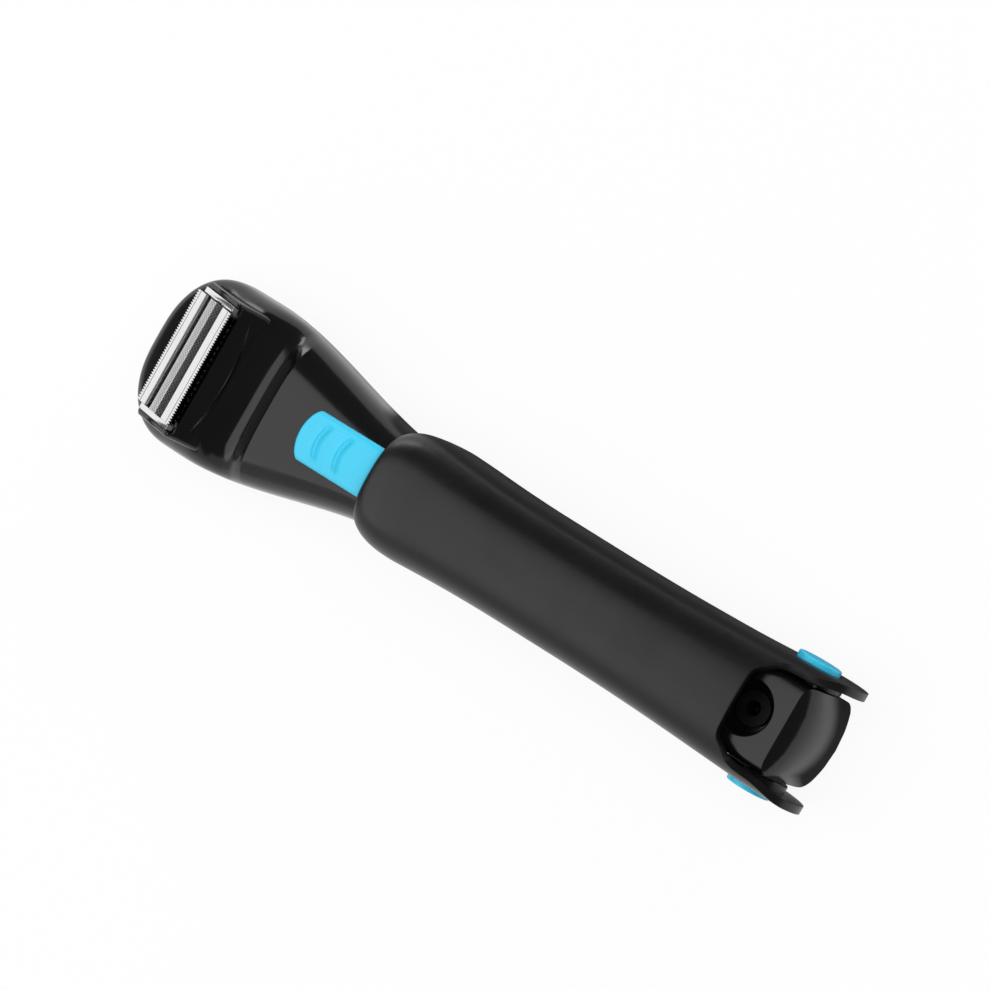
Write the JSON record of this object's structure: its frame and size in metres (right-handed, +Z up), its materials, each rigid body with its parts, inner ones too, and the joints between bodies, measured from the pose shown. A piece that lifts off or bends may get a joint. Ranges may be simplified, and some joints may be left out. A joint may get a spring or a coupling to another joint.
{
  "type": "folding body groomer",
  "caption": "Body groomer with a tilted foil head between comb plates, a blue slide switch and a channel handle that folds over the casing.",
  "frame": {"origin": "middle of the folded groomer on the floor plane it rests on", "axes": "+X from the foil head to the hinge, +Y across to the left side, +Z up"},
  "size_m": [0.2178, 0.0468, 0.0333],
  "materials": {
    "button_spring_left": "fine brushed",
    "button_spring_right": "fine brushed",
    "casing_screw_1": "fine brushed",
    "casing_screw_2": "fine brushed",
    "casing_screw_3": "fine brushed",
    "casing_screw_4": "fine brushed",
    "cassette_frame": "fine brushed",
    "cell_contact_front": "plain",
    "cell_contact_rear": "plain",
    "cell_front": "wrapped steel can",
    "cell_rear": "wrapped steel can",
    "charge_jack": "fine brushed",
    "circuit_board": "solder mask",
    "comb_front": "fine brushed",
    "comb_rear": "fine brushed",
    "cutter_block": "fine brushed",
    "drive_bridge": "moulded",
    "drive_chassis": "moulded",
    "drive_eccentric": "moulded",
    "front_casing": "gloss black",
    "guide_rod_front": "fine brushed",
    "guide_rod_rear": "fine brushed",
    "handle_shell": "satin black",
    "head_frame": "gloss black",
    "hinge_axle": "fine brushed",
    "hinge_block": "semi-gloss black",
    "motor_bell": "moulded",
    "motor_can": "fine brushed",
    "motor_shaft": "fine brushed",
    "rear_casing": "gloss black",
    "release_button_left": "semi-gloss blue",
    "release_button_right": "semi-gloss blue",
    "shaving_foil": "fine brushed",
    "switch_can": "fine brushed",
    "switch_lever": "moulded",
    "switch_slider": "semi-gloss blue",
    "trimmer_blade_front": "fine brushed",
    "trimmer_blade_rear": "fine brushed"
  },
  "bodies": {
    "shaver_body": {"casing_screw_1": "casing_screw_1", "casing_screw_2": "casing_screw_2", "casing_screw_3": "casing_screw_3", "casing_screw_4": "casing_screw_4", "cell_contact_front": "cell_contact_front", "cell_contact_rear": "cell_contact_rear", "cell_front": "cell_front", "cell_rear": "cell_rear", "charge_jack": "charge_jack", "circuit_board": "circuit_board", "drive_chassis": "drive_chassis", "front_casing": "front_casing", "guide_rod_front": "guide_rod_front", "guide_rod_rear": "guide_rod_rear", "hinge_axle": "hinge_axle", "hinge_block": "hinge_block", "motor_bell": "motor_bell", "motor_can": "motor_can", "rear_casing": "rear_casing", "switch_can": "switch_can"},
    "foil_head": {"head_frame": "head_frame", "cassette_frame": "cassette_frame", "comb_front": "comb_front", "comb_rear": "comb_rear", "shaving_foil": "shaving_foil"},
    "trimmers": {"trimmer_blade_front": "trimmer_blade_front", "trimmer_blade_rear": "trimmer_blade_rear"},
    "cutter": {"drive_bridge": "drive_bridge", "cutter_block": "cutter_block"},
    "rotor": {"motor_shaft": "motor_shaft", "drive_eccentric": "drive_eccentric"},
    "switch": {"switch_slider": "switch_slider", "switch_lever": "switch_lever"},
    "handle": {"handle_shell": "handle_shell", "button_spring_left": "button_spring_left", "button_spring_right": "button_spring_right"},
    "button_left": {"release_button_left": "release_button_left"},
    "button_right": {"release_button_right": "release_button_right"}
  },
  "joints": [
    {"name": "handle_fold", "type": "hinge", "parent": "shaver_body", "child": "handle", "pos_m": [0.0942, 0, 0.013], "axis": [0, 1, 0], "range_deg": [0, 180]},
    {"name": "head_lift", "type": "slide", "parent": "shaver_body", "child": "foil_head", "axis": [-0.5878, 0, 0.809], "range_m": [0, 0.02]},
    {"name": "cutter_stroke", "type": "slide", "parent": "shaver_body", "child": "cutter", "axis": [0, 1, 0], "range_m": [-0.0006, 0.0006]},
    {"name": "trimmer_stroke", "type": "slide", "parent": "foil_head", "child": "trimmers", "axis": [0, 1, 0], "range_m": [-0.0006, 0.0006]},
    {"name": "motor_spin", "type": "hinge", "parent": "shaver_body", "child": "rotor", "pos_m": [-0.08, 0, 0.0097], "axis": [1, 0, 0], "continuous": true},
    {"name": "power_slide", "type": "slide", "parent": "shaver_body", "child": "switch", "axis": [-1, 0, 0], "range_m": [0, 0.005]},
    {"name": "left_release", "type": "slide", "parent": "handle", "child": "button_left", "axis": [0, -1, 0], "range_m": [0, 0.0013], "stiffness_N_per_m": 600, "deforming": ["button_spring_left"]},
    {"name": "right_release", "type": "slide", "parent": "handle", "child": "button_right", "axis": [0, 1, 0], "range_m": [0, 0.0013], "stiffness_N_per_m": 600, "deforming": ["button_spring_right"]}
  ],
  "couplings": [
    {"joint": "trimmer_stroke", "follows": "cutter_stroke", "ratio": 1}
  ]
}
